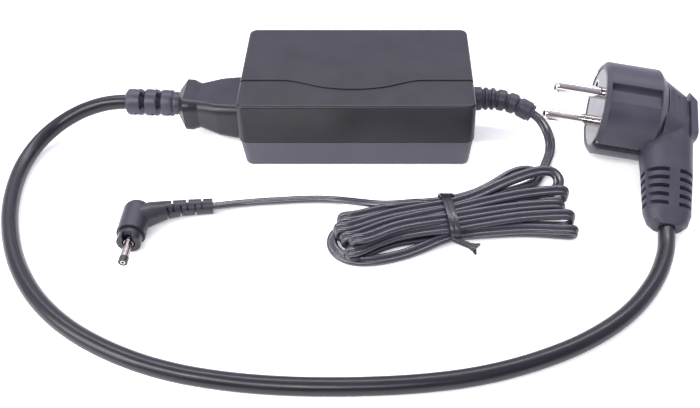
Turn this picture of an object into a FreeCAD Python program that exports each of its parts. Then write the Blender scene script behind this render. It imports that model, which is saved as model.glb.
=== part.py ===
import FreeCAD, Part
import Sketcher
import math
import os
from FreeCAD import Placement, Rotation, Vector

# Laptop power adapter with a detachable mains lead. Millimetres, +Z up. The origin is the middle of the
# brick's underside, the mains inlet is at the -X end and the low voltage cord leaves at the +X end.

doc = FreeCAD.newDocument("power_adapter")
sheet = doc.addObject("Spreadsheet::Sheet", "Size")

DIMENSIONS = {
    # brick, measured at the parting line between its two shells
    "brick_length": 94.0,
    "brick_width": 55.2,
    "brick_height": 31.0,
    "parting_height": 13.3,
    "upper_draft": 1.3,
    "lower_draft": 4.7,
    "corner_radius": 3.2,
    "edge_radius": 1.3,
    "wall": 2.0,
    "panel_step": 0.35,
    "parting_inset": 0.3,
    "label_recess": 0.4,
    # mains inlet and the connector that plugs into it
    "inlet_y": -4.0,
    "inlet_z": 12.6,
    "inlet_mouth": -46.0,
    "inlet_floor": -29.4,
    "nose_width": 24.0,
    "nose_height": 16.0,
    "nose_chamfer": 5.0,
    "nose_gap": 0.35,
    "blade_width": 4.0,
    "blade_thickness": 2.0,
    "blade_spread": 7.0,
    "blade_rise": 2.0,
    # cords
    "lead_diameter": 6.2,
    "dc_cord_diameter": 3.2,
    # low voltage side
    "outlet_y": 0.9,
    "outlet_z": 13.5,
    "dc_plug_x": -82.3,
    "dc_plug_z": 5.4,
    "dc_sleeve_diameter": 3.0,
    # mains plug
    "plug_diameter": 37.0,
    "pin_diameter": 4.8,
    "pin_length": 19.0,
    "pin_spacing": 19.0,
    # electronics
    "board_level": 4.6,
    "board_thickness": 1.6,
}

for row, (alias, value) in enumerate(DIMENSIONS.items(), start=1):
    sheet.set(f"A{row}", alias)
    sheet.set(f"B{row}", str(value))
    sheet.setAlias(f"B{row}", alias)
doc.recompute()

nodes = []


def size(alias):
    return float(sheet.get(alias))


def node(obj, label):
    """Marks an object as a finished piece that is written to its own file."""
    obj.Label = label
    nodes.append(obj)
    return obj


def bind(obj, **values):
    """Sets properties: a text is an expression on the sheet, a number is a plain size."""
    for name, value in values.items():
        if isinstance(value, str):
            obj.setExpression(name, value)
        else:
            setattr(obj, name, value)


def place(obj, corner):
    """Puts an object's base at a corner whose three values are numbers or expressions."""
    for axis, value in zip("xyz", corner):
        obj.setExpression(f"Placement.Base.{axis}", str(value))


def box(name, lengths, corner):
    obj = doc.addObject("Part::Box", name)
    bind(obj, Length=lengths[0], Width=lengths[1], Height=lengths[2])
    place(obj, corner)
    return obj


TURNS = {
    "x": Rotation(Vector(0, 1, 0), 90),
    "y": Rotation(Vector(1, 0, 0), -90),
    "z": Rotation(),
}


def cylinder(name, axis, radius, length, start):
    """A cylinder that runs from its start in the direction of +axis."""
    obj = doc.addObject("Part::Cylinder", name)
    bind(obj, Radius=radius, Height=length)
    obj.Placement = Placement(Vector(), TURNS[axis])
    place(obj, start)
    return obj


def fuse(name, parts):
    obj = doc.addObject("Part::MultiFuse", name)
    obj.Shapes = parts
    return obj


def cut(name, base, tool):
    obj = doc.addObject("Part::Cut", name)
    obj.Base = base
    obj.Tool = tool
    return obj


def group(name, parts):
    """Separate solids that share one node."""
    obj = doc.addObject("Part::Compound", name)
    obj.Links = parts
    return obj


def feature(name, shape, placement=None):
    obj = doc.addObject("Part::Feature", name)
    obj.Shape = shape
    if placement:
        obj.Placement = placement
    return obj


# ---------------------------------------------------------------- brick shells


def centred_rectangle(body, name, length, width):
    """A sketch on the body's own XY plane with a rectangle whose middle is the origin."""
    sketch = body.newObject("Sketcher::SketchObject", name)
    plane = next(item for item in body.Origin.OriginFeatures if item.Role == "XY_Plane")
    sketch.AttachmentSupport = [(plane, "")]
    sketch.MapMode = "FlatFace"
    corners = [Vector(x, y, 0) for x, y in ((-40, -20), (40, -20), (40, 20), (-40, 20))]
    for first, second in zip(corners, corners[1:] + corners[:1]):
        sketch.addGeometry(Part.LineSegment(first, second), False)
    for side in range(4):
        sketch.addConstraint(Sketcher.Constraint("Coincident", side, 2, (side + 1) % 4, 1))
        sketch.addConstraint(Sketcher.Constraint("Vertical" if side % 2 else "Horizontal", side))
    sketch.addConstraint(Sketcher.Constraint("Symmetric", 0, 1, 1, 2, -1, 1))
    across = sketch.addConstraint(Sketcher.Constraint("DistanceX", 0, 1, 0, 2, 80))
    along = sketch.addConstraint(Sketcher.Constraint("DistanceY", 1, 1, 1, 2, 40))
    sketch.setExpression(f"Constraints[{across}]", length)
    sketch.setExpression(f"Constraints[{along}]", width)
    return sketch


def edges_named(shape, wanted):
    return [f"Edge{i}" for i, edge in enumerate(shape.Edges, start=1) if wanted(edge)]


def drafted_block(name, height, draft, downwards, inset="0"):
    """Half of the brick as a body: it starts at the parting plane and tapers away from it."""
    body = doc.addObject("PartDesign::Body", name)
    sketch = centred_rectangle(
        body, f"{name}_outline", f"Size.brick_length - 2 * {inset}", f"Size.brick_width - 2 * {inset}"
    )
    pad = body.newObject("PartDesign::Pad", f"{name}_pad")
    pad.Profile = sketch
    pad.setExpression("Length", height)
    pad.setExpression("TaperAngle", f"-{draft}")
    pad.Reversed = downwards
    doc.recompute()

    def upright(edge):
        return abs(edge.tangentAt(edge.FirstParameter).z) > 0.5

    corners = body.newObject("PartDesign::Fillet", f"{name}_corners")
    corners.Base = (pad, edges_named(pad.Shape, upright))
    corners.setExpression("Radius", "Size.corner_radius")
    doc.recompute()
    far = -1 if downwards else 1
    limit = max(far * corner.Z for corner in corners.Shape.Vertexes) - 0.01

    def at_the_end(edge):
        return all(far * corner.Z > limit for corner in edge.Vertexes)

    rim = body.newObject("PartDesign::Fillet", f"{name}_rim")
    rim.Base = (corners, edges_named(corners.Shape, at_the_end))
    rim.setExpression("Radius", "Size.edge_radius")
    body.setExpression("Placement.Base.z", "Size.parting_height")
    body.Tip = rim
    doc.recompute()
    return body


UPPER = "Size.brick_height - Size.parting_height"
low_panel = drafted_block("low_panel", f"{UPPER} - Size.panel_step", "Size.upper_draft", False)
high_panel = drafted_block("high_panel", UPPER, "Size.upper_draft", False)
lower_block = drafted_block(
    "lower_block", "Size.parting_height", "Size.lower_draft", True, "Size.parting_inset"
)

# The rear of the top stands a step higher than the front, up to a line that dips forward in a wave.
WAVE = [(-60, -10), (-31, -10), (-17, -13.6), (-1, -16), (14, -13.6), (27, -10), (60, -10)]
wave_curve = Part.BSplineCurve()
wave_curve.interpolate(
    [Vector(x, y, 0) for x, y in WAVE[1:-1]], InitialTangent=Vector(1, 0, 0), FinalTangent=Vector(1, 0, 0)
)
wave_corners = [Vector(x, y, 0) for x, y in (WAVE[-2], WAVE[-1], (60, 40), (-60, 40), WAVE[0], WAVE[1])]
wave_edges = [wave_curve.toShape()]
wave_edges += [Part.LineSegment(a, b).toShape() for a, b in zip(wave_corners, wave_corners[1:])]
wave_region = feature("wave_region", Part.Face(Part.Wire(wave_edges)).extrude(Vector(0, 0, 40)))
raised_panel = doc.addObject("Part::Common", "raised_panel")
raised_panel.Base = high_panel
raised_panel.Tool = wave_region
upper_block = fuse("upper_block", [low_panel, raised_panel])

OPENING_MARGIN = 0.05
HOUSING_WIDTH = 27.6
HOUSING_HEIGHT = 19.4
NECK_DIAMETER = 9.0

upper_room = box(
    "upper_room",
    ("Size.brick_length - 2 * Size.wall - 1.2", "Size.brick_width - 2 * Size.wall - 1.2",
     f"{UPPER} - Size.panel_step - Size.wall"),
    ("-Size.brick_length / 2 + Size.wall + 0.6", "-Size.brick_width / 2 + Size.wall + 0.6",
     "Size.parting_height"),
)
lower_room = box(
    "lower_room",
    ("Size.brick_length - 2 * Size.wall - 2.4", "Size.brick_width - 2 * Size.wall - 2.4",
     "Size.parting_height - Size.wall"),
    ("-Size.brick_length / 2 + Size.wall + 1.2", "-Size.brick_width / 2 + Size.wall + 1.2",
     "Size.wall"),
)
inlet_cutter = box(
    "inlet_cutter",
    (8.0, HOUSING_WIDTH + 2 * OPENING_MARGIN, HOUSING_HEIGHT + 2 * OPENING_MARGIN),
    (-50.0, f"Size.inlet_y - {HOUSING_WIDTH / 2 + OPENING_MARGIN}",
     f"Size.inlet_z - {HOUSING_HEIGHT / 2 + OPENING_MARGIN}"),
)
outlet_cutter = cylinder(
    "outlet_cutter", "x", NECK_DIAMETER / 2 + OPENING_MARGIN, 10.0, (40.0, "Size.outlet_y", "Size.outlet_z")
)
LABEL_LENGTH = 66.0
LABEL_WIDTH = 40.0
label_cutter = box(
    "label_cutter",
    (LABEL_LENGTH, LABEL_WIDTH, "Size.label_recess + 1"),
    (-LABEL_LENGTH / 2, -LABEL_WIDTH / 2, -1.0),
)
# A shallow groove runs round the lower shell, just under the parting line.
GROOVE_HEIGHT = 0.5
GROOVE_INSET = 1.0
parting = size("parting_height")
groove_outer = Part.makeBox(110, 70, GROOVE_HEIGHT, Vector(-55, -35, parting - GROOVE_HEIGHT))
groove_inner = Part.makeBox(
    size("brick_length") - 2 * GROOVE_INSET, size("brick_width") - 2 * GROOVE_INSET, GROOVE_HEIGHT,
    Vector(GROOVE_INSET - size("brick_length") / 2, GROOVE_INSET - size("brick_width") / 2, parting - GROOVE_HEIGHT),
)
groove_inner = groove_inner.makeFillet(2.4, [edge for edge in groove_inner.Edges if edge.Length < 0.6])
parting_groove = feature("parting_groove", groove_outer.cut(groove_inner))
node(cut("upper_shell", upper_block, fuse("upper_cuts", [upper_room, inlet_cutter, outlet_cutter])),
     "upper_shell")
lower_cuts = [lower_room, doc.copyObject(inlet_cutter), doc.copyObject(outlet_cutter), label_cutter, parting_groove]
node(cut("lower_shell", lower_block, fuse("lower_cuts", lower_cuts)), "lower_shell")
LABEL_THICKNESS = 0.2
node(
    box("rating_label", (LABEL_LENGTH - 0.6, LABEL_WIDTH - 0.6, LABEL_THICKNESS),
        (-LABEL_LENGTH / 2 + 0.3, -LABEL_WIDTH / 2 + 0.3, f"Size.label_recess - {LABEL_THICKNESS}")),
    "rating_label",
)


# ---------------------------------------------------------------- mains inlet


def nose_prism(grow, start, length):
    """The connector's nose outline, two lower corners cut off, as a prism along +X."""
    half_width = size("nose_width") / 2 + grow
    half_height = size("nose_height") / 2 + grow
    chamfer = size("nose_chamfer")
    outline = [
        (-half_width, half_height),
        (half_width, half_height),
        (half_width, chamfer - half_height),
        (half_width - chamfer, -half_height),
        (chamfer - half_width, -half_height),
        (-half_width, chamfer - half_height),
    ]
    middle = Vector(start, size("inlet_y"), size("inlet_z"))
    corners = [middle + Vector(0, y, z) for y, z in outline]
    return Part.Face(Part.makePolygon(corners + corners[:1])).extrude(Vector(length, 0, 0))


# Offsets of the three blades from the inlet's middle: the earth blade is the low one.
BLADES = {
    "line": ("-Size.blade_spread", "Size.blade_rise"),
    "neutral": ("Size.blade_spread", "Size.blade_rise"),
    "earth": ("0", "-Size.blade_rise"),
}
BLADE_TIP = -44.0
BLADE_TAIL = -23.6


def blade_box(name, offsets, grow, start, end):
    """A box round one blade's line, larger than the blade by grow on each side."""
    return box(
        name,
        (end - start, f"Size.blade_thickness + {2 * grow}", f"Size.blade_width + {2 * grow}"),
        (start, f"Size.inlet_y + {offsets[0]} - Size.blade_thickness / 2 - {grow}",
         f"Size.inlet_z + {offsets[1]} - Size.blade_width / 2 - {grow}"),
    )


HOUSING_BACK = -28.0
housing_block = box(
    "housing_block",
    (f"{HOUSING_BACK} - Size.inlet_mouth", HOUSING_WIDTH, HOUSING_HEIGHT),
    ("Size.inlet_mouth", f"Size.inlet_y - {HOUSING_WIDTH / 2}", f"Size.inlet_z - {HOUSING_HEIGHT / 2}"),
)
recess = feature(
    "recess",
    nose_prism(size("nose_gap"), size("inlet_mouth") - 1, size("inlet_floor") - size("inlet_mouth") + 1),
)
blade_slots = [blade_box(f"{key}_slot", at, 0.0, -30.0, -27.0) for key, at in BLADES.items()]
node(cut("inlet_housing", housing_block, fuse("housing_cuts", [recess] + blade_slots)), "inlet_housing")
for key, at in BLADES.items():
    node(blade_box(f"{key}_blade", at, 0.0, BLADE_TIP, BLADE_TAIL), f"{key}_blade")

BOARD_TOP = "Size.board_level + Size.board_thickness"
board_top = size("board_level") + size("board_thickness")
LEAD_X = -24.8
lead_wires = []
for key, (offset_y, offset_z) in BLADES.items():
    lead_wires.append(
        cylinder(
            f"{key}_wire", "z", 0.9, f"Size.inlet_z + {offset_z} - Size.blade_width / 2 - ({BOARD_TOP})",
            (LEAD_X, f"Size.inlet_y + {offset_y}", BOARD_TOP),
        )
    )
node(group("inlet_leads", lead_wires), "inlet_leads")

# ---------------------------------------------------------------- electronics

node(box("circuit_board", (68.0, 47.0, "Size.board_thickness"), (-26.0, -23.5, "Size.board_level")),
     "circuit_board")
node(box("insulating_sheet", (69.0, 47.6, 0.4), (-26.5, -23.8, 3.0)), "insulating_sheet")
node(cylinder("inlet_fuse", "x", 2.6, 10.0, (-22.0, -20.4, f"{BOARD_TOP} + 2.6")), "inlet_fuse")
node(cylinder("surge_thermistor", "y", 4.6, 3.4, (-17.0, -16.0, f"{BOARD_TOP} + 4.6")), "surge_thermistor")
node(box("x_capacitor", (11.5, 5.5, 11.5), (-22.0, 3.4, BOARD_TOP)), "x_capacitor")


def ring(name, radius, hole, height, centre):
    """A wound ring core that lies flat on the board."""
    outside = cylinder(f"{name}_outside", "z", radius, height, (*centre, BOARD_TOP))
    inside = cylinder(f"{name}_inside", "z", hole, height + 2, (*centre, f"{BOARD_TOP} - 1"))
    return cut(name, outside, inside)


node(ring("emi_choke", 6.2, 2.4, 9.0, (-15.4, 16.6)), "emi_choke")
node(box("bridge_rectifier", (14.5, 3.4, 10.5), (-8.0, -22.6, BOARD_TOP)), "bridge_rectifier")
node(cylinder("bulk_capacitor", "x", 7.2, 25.0, (-10.0, -10.4, f"{BOARD_TOP} + 7.2")), "bulk_capacitor")
node(box("primary_heat_sink", (1.5, 20.0, 18.0), (-7.4, 2.0, BOARD_TOP)), "primary_heat_sink")
node(box("primary_switch", (4.5, 10.0, 15.0), (-5.9, 7.0, f"{BOARD_TOP} + 1.8")), "primary_switch")

winding_window = box("winding_window", (14.0, 15.0, 13.0), (3.0, 3.0, f"{BOARD_TOP} + 2.6"))
core_block = box("core_block", (12.0, 25.0, 18.2), (4.0, -2.0, BOARD_TOP))
node(cut("transformer_core", core_block, winding_window), "transformer_core")
node(box("transformer_winding", (20.0, 14.8, 12.8), (0.0, 3.1, f"{BOARD_TOP} + 2.7")), "transformer_winding")

node(cylinder("y_capacitor", "x", 3.8, 3.6, (20.4, -19.2, f"{BOARD_TOP} + 3.8")), "y_capacitor")
node(box("optocoupler", (4.6, 6.4, 3.6), (15.0, -23.0, BOARD_TOP)), "optocoupler")
node(box("control_chip", (5.0, 4.0, 1.6), (18.0, -12.0, BOARD_TOP)), "control_chip")
node(box("secondary_heat_sink", (1.5, 26.0, 18.0), (22.4, -4.0, BOARD_TOP)), "secondary_heat_sink")
node(box("secondary_rectifier", (4.5, 10.0, 15.0), (23.9, 4.0, f"{BOARD_TOP} + 1.8")), "secondary_rectifier")
CAPACITOR_PLACES = [(28.6, -17.6), (37.2, -17.6), (35.4, -8.8)]
output_cans = [
    cylinder(f"output_can_{i}", "z", 4.0, 16.0, (x, y, BOARD_TOP))
    for i, (x, y) in enumerate(CAPACITOR_PLACES)
]
node(group("output_capacitors", output_cans), "output_capacitors")
node(ring("output_choke", 5.2, 1.9, 7.0, (35.6, 14.0)), "output_choke")
node(box("heat_spreader", (62.0, 44.0, 0.8), (-21.5, -22.0, 26.6)), "heat_spreader")


def rod(start, end, radius):
    """A round bar between two points."""
    return Part.makeCylinder(radius, (end - start).Length, start, end - start)


OUTLET = Vector(0, size("outlet_y"), size("outlet_z"))
INNER_FLANGE_X = 42.2
output_wires = [
    rod(Vector(39.6, side * 2.2, board_top), Vector(INNER_FLANGE_X, side * 1.3, 0) + OUTLET, 0.9)
    for side in (-1, 1)
]
trim_box = Part.makeBox(20, 20, 20, Vector(INNER_FLANGE_X - 20, -10, board_top))
node(feature("output_leads", Part.makeCompound([wire.common(trim_box) for wire in output_wires])),
     "output_leads")

# ---------------------------------------------------------------- cords


def cord_path(name, points):
    """Straight runs joined by tangent arcs, each as large as its two runs allow."""
    corners = [Vector(*point) for point in points]
    edges = []
    radii = []
    start = corners[0]
    for before, corner, after in zip(corners, corners[1:], corners[2:]):
        into = corner - before
        out = after - corner
        turn = into.getAngle(out)
        setback = 0.45 * min(into.Length, out.Length)
        radius = setback / math.tan(turn / 2)
        radii.append(radius)
        into.normalize()
        out.normalize()
        arc_start = corner - into * setback
        arc_end = corner + out * setback
        inward = out - into
        inward.normalize()
        centre = corner + inward * (radius / math.cos(turn / 2))
        middle = centre - inward * radius
        edges.append(Part.LineSegment(start, arc_start).toShape())
        edges.append(Part.Arc(arc_start, middle, arc_end).toShape())
        start = arc_end
    edges.append(Part.LineSegment(start, corners[-1]).toShape())
    wire = Part.Wire(edges)
    print(f"{name}: length {wire.Length:.1f}, smallest radius {min(radii):.1f}",
          [round(radius) for radius in radii])
    return wire


def tube(name, points, diameter):
    """A round cord along its route."""
    path = cord_path(name, points)
    start = Vector(*points[0])
    circle = Part.makeCircle(diameter / 2, start, Vector(*points[1]) - start)
    solid = path.makePipeShell([Part.Wire([circle])], True, False)
    section = math.pi * diameter ** 2 / 4
    print(f"{name}: volume {solid.Volume:.0f}, section times length {section * path.Length:.0f}")
    return solid


def rounded_outline(place_at, width, height, radius):
    """A rounded rectangle as a wire. place_at turns (across, up) into a point."""
    half_w = width / 2 - radius
    half_h = height / 2 - radius
    slant = radius * math.sqrt(0.5)
    edges = []
    corners = ((1, 1), (-1, 1), (-1, -1), (1, -1))
    ends = []
    for i, (sx, sy) in enumerate(corners):
        first = (sx * half_w + (radius * sx if i % 2 == 0 else 0),
                 sy * half_h + (0 if i % 2 == 0 else radius * sy))
        last = (sx * half_w + (0 if i % 2 == 0 else radius * sx),
                sy * half_h + (radius * sy if i % 2 == 0 else 0))
        middle = (sx * (half_w + slant), sy * (half_h + slant))
        arc = Part.Arc(place_at(*first), place_at(*middle), place_at(*last))
        ends.append((arc, place_at(*first), place_at(*last)))
    for i, (arc, _, last) in enumerate(ends):
        edges.append(arc.toShape())
        edges.append(Part.LineSegment(last, ends[(i + 1) % 4][1]).toShape())
    return Part.Wire(edges)


def loft(outlines):
    return Part.makeLoft(outlines, True, True)


# Mains lead: out of the connector's strain relief, down to the floor, round in front of the brick and
# up to the mains plug. Points are (x, y, z) of the lead's middle.
FLOOR_LEAD = size("lead_diameter") / 2
MAINS_ROUTE = [
    (-96.0, -1.9, 14.0),
    (-106.6, -2.2, 13.1),
    (-117.6, -4.6, 10.4),
    (-127.6, -10.8, 6.8),
    (-134.0, -21.4, 4.2),
    (-136.0, -35.4, FLOOR_LEAD),
    (-133.3, -52.5, FLOOR_LEAD),
    (-128.2, -69.0, FLOOR_LEAD),
    (-120.6, -84.6, FLOOR_LEAD),
    (-109.9, -99.2, FLOOR_LEAD),
    (-96.0, -111.8, FLOOR_LEAD),
    (-78.8, -121.8, FLOOR_LEAD),
    (-60.0, -129.0, FLOOR_LEAD),
    (-40.0, -133.0, FLOOR_LEAD),
    (-20.0, -134.8, FLOOR_LEAD),
    (0.5, -135.0, FLOOR_LEAD),
    (21.0, -134.0, FLOOR_LEAD),
    (41.0, -131.2, FLOOR_LEAD),
    (60.5, -125.4, FLOOR_LEAD),
    (79.0, -117.0, FLOOR_LEAD),
    (95.0, -105.4, FLOOR_LEAD),
    (106.6, -91.4, FLOOR_LEAD),
    (112.8, -79.4, FLOOR_LEAD),
]

# Low voltage cord, from the brick's strain relief to the hank and from the hank to its plug.
FLOOR_DC = size("dc_cord_diameter") / 2
DC_START_ROUTE = [
    (73.2, -4.0, 9.4),
    (76.4, -5.7, 7.6),
    (79.2, -9.2, 4.6),
    (80.6, -14.4, 2.4),
    (80.2, -20.2, FLOOR_DC),
    (78.4, -26.2, FLOOR_DC + 0.2),
    (76.2, -32.0, FLOOR_DC + 1.0),
    (74.4, -38.0, 4.0),
]
DC_END_ROUTE = [
    (-55.0, -53.4, 3.0),
    (-49.6, -51.5, 2.2),
    (-43.0, -50.2, 1.7),
    (-36.0, -49.4, FLOOR_DC),
    (-28.8, -49.0, FLOOR_DC),
    (-21.6, -48.4, FLOOR_DC),
    (-14.2, -47.5, FLOOR_DC + 0.1),
    (-6.8, -48.2, 2.6),
    (-0.2, -50.8, 4.4),
    (6.4, -54.8, 6.4),
    (13.4, -58.4, 7.0),
]

# The hank as one solid: (x, lowest y, highest y, height), which fans out from the tie to both ends.
HANK_SECTIONS = [
    (-10.6, -74.0, -66.0, 3.4),
    (-8.0, -78.0, -62.5, 7.0),
    (-4.0, -81.0, -59.6, 9.4),
    (2.0, -82.6, -57.0, 10.0),
    (8.0, -81.0, -55.6, 10.0),
    (14.0, -78.6, -54.8, 10.0),
    (20.0, -76.0, -54.2, 10.0),
    (27.0, -73.6, -53.4, 10.0),
    (35.0, -71.8, -52.2, 10.0),
    (42.0, -68.6, -49.4, 10.2),
    (48.0, -67.2, -46.0, 10.4),
    (54.0, -67.0, -42.4, 10.8),
    (60.0, -67.4, -38.4, 11.0),
    (66.0, -68.4, -35.4, 11.0),
    (72.0, -69.4, -34.8, 11.0),
    (77.0, -70.4, -35.6, 10.6),
    (81.0, -70.4, -39.0, 9.0),
    (84.4, -68.6, -48.0, 5.0),
]


def hank_outline(x, low, high, height):
    middle = (low + high) / 2

    def place_at(across, up):
        return Vector(x, middle + across, height / 2 + up)

    return rounded_outline(place_at, high - low, height, 0.42 * height)


TIE_X = 35.6
TIE_WIDTH = 4.6
TIE_THICKNESS = 0.7


def tie_band(grow):
    """The band's block at the hank's waist, out to its outside (0) or inside (a negative grow)."""
    low, high, height = -72.3, -51.7, 10.4

    def place_at(across, up):
        return Vector(TIE_X - TIE_WIDTH / 2, (low + high) / 2 + across, height / 2 + up)

    outline = rounded_outline(place_at, high - low + 2 * grow, height + 2 * grow, 4.4 + grow)
    return Part.Face(outline).extrude(Vector(TIE_WIDTH, 0, 0))


hank = loft([hank_outline(*section) for section in HANK_SECTIONS])
band = tie_band(0).cut(tie_band(-TIE_THICKNESS))
waist = Part.makeBox(TIE_WIDTH, 60, 30, Vector(TIE_X - TIE_WIDTH / 2, -90, -5))
hank = hank.cut(waist.cut(tie_band(-TIE_THICKNESS)))
TIE_TAIL = [Vector(36.4, -71.8, 4.4), Vector(44.4, -75.4, 2.4)]
tie_solid = band.fuse(rod(TIE_TAIL[0], TIE_TAIL[1], 1.1)).cut(hank)
node(feature("dc_cord_hank", hank), "dc_cord_hank")
node(feature("twist_tie", tie_solid), "twist_tie")
dc_start = tube("dc_cord_from_brick", DC_START_ROUTE, size("dc_cord_diameter"))
dc_end = tube("dc_cord_to_plug", DC_END_ROUTE, size("dc_cord_diameter"))


def between(cord, mouldings, near):
    """The run of a cord that lies outside the pieces it ends in, next to a point."""
    runs = cord.cut(mouldings).Solids
    return min(runs, key=lambda run: run.distToShape(Part.Vertex(Vector(*near)))[0])



# ---------------------------------------------------------------- strain relief at the brick's outlet

# Middle line of the flexible part, from the boss to the cord.
BOSS_X = 47.05
BOSS_THICKNESS = 1.4
RELIEF_LINE = [(50.8, 0.9, 13.5), (57.0, 0.9, 13.4), (63.4, -0.2, 12.7), (68.6, -2.0, 11.3), (73.2, -4.0, 9.4)]
# The sleeve's plain base, two thin ribs and three blocks: (start and end as shares of the line, radius).
RELIEF_RIBS = [(0.0, 0.13, 4.8), (0.18, 0.27, 4.6), (0.32, 0.48, 4.5), (0.53, 0.71, 4.2), (0.76, 1.0, 3.9)]


def along(wire, share):
    """The point and direction at a share of a wire's length."""
    left = share * wire.Length
    for edge in wire.OrderedEdges:
        if left <= edge.Length + 1e-6:
            parameter = edge.getParameterByLength(min(left, edge.Length))
            return edge.valueAt(parameter), edge.tangentAt(parameter)
        left -= edge.Length
    return wire.OrderedVertexes[-1].Point, wire.OrderedEdges[-1].tangentAt(edge.LastParameter)


relief_path = cord_path("dc_strain_relief", RELIEF_LINE)
relief = Part.makeCylinder(6.0, 1.4, OUTLET + Vector(INNER_FLANGE_X, 0, 0), Vector(1, 0, 0))
relief = relief.fuse(
    Part.makeCylinder(NECK_DIAMETER / 2, 8.6, OUTLET + Vector(INNER_FLANGE_X, 0, 0), Vector(1, 0, 0))
)
relief = relief.fuse(Part.makeCylinder(6.8, BOSS_THICKNESS, OUTLET + Vector(BOSS_X, 0, 0), Vector(1, 0, 0)))
relief = relief.fuse(Part.makeCylinder(5.2, 6.0, OUTLET + Vector(BOSS_X, 0, 0), Vector(1, 0, 0)))
relief_start = Vector(*RELIEF_LINE[0])
core_circle = Part.makeCircle(3.2, relief_start, Vector(*RELIEF_LINE[1]) - relief_start)
relief = relief.fuse(relief_path.makePipeShell([Part.Wire([core_circle])], True, False))
for start, end, radius in RELIEF_RIBS:
    point, direction = along(relief_path, (start + end) / 2)
    length = (end - start) * relief_path.Length
    relief = relief.fuse(Part.makeCylinder(radius, length, point - direction * length / 2, direction))
last_point, last_direction = along(relief_path, 1.0)
end_trim = Part.makeCylinder(12, 6, last_point, last_direction)
relief = relief.cut(end_trim).removeSplitter()
node(feature("dc_strain_relief", relief), "dc_strain_relief")
node(feature("dc_cord_from_brick", between(dc_start, [hank, relief], DC_START_ROUTE[1])), "dc_cord_from_brick")

# ---------------------------------------------------------------- low voltage plug

PLUG_X = size("dc_plug_x")
PLUG_Z = size("dc_plug_z")


def toward_front(radius, first, last):
    """A cylinder on the plug's axis between two y values, the first being the rear one."""
    return Part.makeCylinder(radius, first - last, Vector(PLUG_X, first, PLUG_Z), Vector(0, -1, 0))


HEAD_REAR = -55.6
HEAD_FRONT = -70.8
SKIRT_FRONT = -75.2
SLEEVE_FRONT = -82.2
TIP_FRONT = -84.6
ARM = [(-80.6, -61.6, 5.4, 9.8), (-76.4, -59.2, 5.1, 8.9), (-71.8, -57.0, 4.5, 7.2), (-67.0, -55.4, 3.9, 6.4),
       (-61.0, -54.2, 3.4, 6.2), (-55.0, -53.4, 3.1, 6.0)]
# Slits across the arm, from behind and from the front in turn: (x, side).
ARM_SLITS = [(-72.0, -1), (-69.6, 1), (-67.0, -1), (-64.3, 1), (-61.5, -1), (-58.8, 1)]
SLIT_WIDTH = 0.75
SLIT_CORE = 2.1

head = toward_front(5.3, HEAD_REAR, HEAD_FRONT)
rear_rim = [
    edge for edge in head.Edges if isinstance(edge.Curve, Part.Circle) and edge.CenterOfMass.y > HEAD_REAR - 0.1
]
head = head.makeFillet(3.4, rear_rim)
arm_rings = []
for i, (x, y, z, diameter) in enumerate(ARM):
    ahead = ARM[min(i + 1, len(ARM) - 1)]
    behind = ARM[max(i - 1, 0)]
    direction = Vector(*ahead[:3]) - Vector(*behind[:3])
    arm_rings.append(Part.Wire([Part.makeCircle(diameter / 2, Vector(x, y, z), direction)]))
arm = loft(arm_rings)
skirt = toward_front(4.4, HEAD_FRONT, SKIRT_FRONT)
rim_groove = toward_front(9.0, HEAD_FRONT, HEAD_FRONT - 0.7).cut(toward_front(3.9, HEAD_FRONT, HEAD_FRONT - 0.7))


def arm_slit(x, side):
    """Half of a ring round the arm at x, cut from behind and above or from the front and below."""
    ahead, behind = next((b, a) for a, b in zip(ARM, ARM[1:]) if b[0] >= x)
    share = (x - behind[0]) / (ahead[0] - behind[0])
    middle = Vector(*behind[:3]) * (1 - share) + Vector(*ahead[:3]) * share
    direction = Vector(*ahead[:3]) - Vector(*behind[:3])
    direction.normalize()
    start = middle - direction * SLIT_WIDTH / 2
    ring_shape = Part.makeCylinder(8, SLIT_WIDTH, start, direction).cut(
        Part.makeCylinder(SLIT_CORE, SLIT_WIDTH, start, direction)
    )
    half = Part.makeBox(12, 24, 12, Vector(-6, -12, -1.0))
    half.Placement = Placement(middle, Rotation(Vector(1, 0, 0), -45 if side > 0 else 135))
    return ring_shape.common(half)



skirt_notch = Part.makeBox(3.6, 3.2, 6.0, Vector(PLUG_X - 1.8, SKIRT_FRONT - 1, PLUG_Z))
dc_grip = head.fuse([arm, skirt]).cut(rim_groove).cut(toward_front(2.4, -72.6, -78.0)).cut(skirt_notch)
dc_grip = dc_grip.cut([arm_slit(x, side) for x, side in ARM_SLITS])
SLEEVE_REAR = -66.0
COLLAR_RADIUS = 1.8
INSULATOR_RADIUS = 1.15
TIP_RADIUS = 1.7
CONTACT_RADIUS = 0.85
CONTACT_BORE = 0.55
PAST_THE_TIP = -90.0
dc_grip = dc_grip.cut(toward_front(COLLAR_RADIUS, SLEEVE_REAR, -74.0)).removeSplitter()
node(feature("dc_plug_grip", dc_grip), "dc_plug_grip")
node(feature("dc_cord_to_plug", between(dc_end, [hank, dc_grip], DC_END_ROUTE[1])), "dc_cord_to_plug")
sleeve = toward_front(COLLAR_RADIUS, SLEEVE_REAR, SKIRT_FRONT)
sleeve = sleeve.fuse(toward_front(size("dc_sleeve_diameter") / 2, SKIRT_FRONT, SLEEVE_FRONT))
sleeve = sleeve.cut(toward_front(INSULATOR_RADIUS, SLEEVE_REAR + 1, PAST_THE_TIP))
node(feature("dc_plug_sleeve", sleeve), "dc_plug_sleeve")
insulator = toward_front(TIP_RADIUS, SLEEVE_FRONT, TIP_FRONT)
insulator = insulator.fuse(toward_front(INSULATOR_RADIUS, SLEEVE_REAR, SLEEVE_FRONT))
insulator = insulator.cut(toward_front(CONTACT_RADIUS, SLEEVE_REAR + 1, PAST_THE_TIP))
node(feature("dc_plug_insulator", insulator), "dc_plug_insulator")
contact = toward_front(CONTACT_RADIUS, SLEEVE_REAR, TIP_FRONT)
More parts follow.
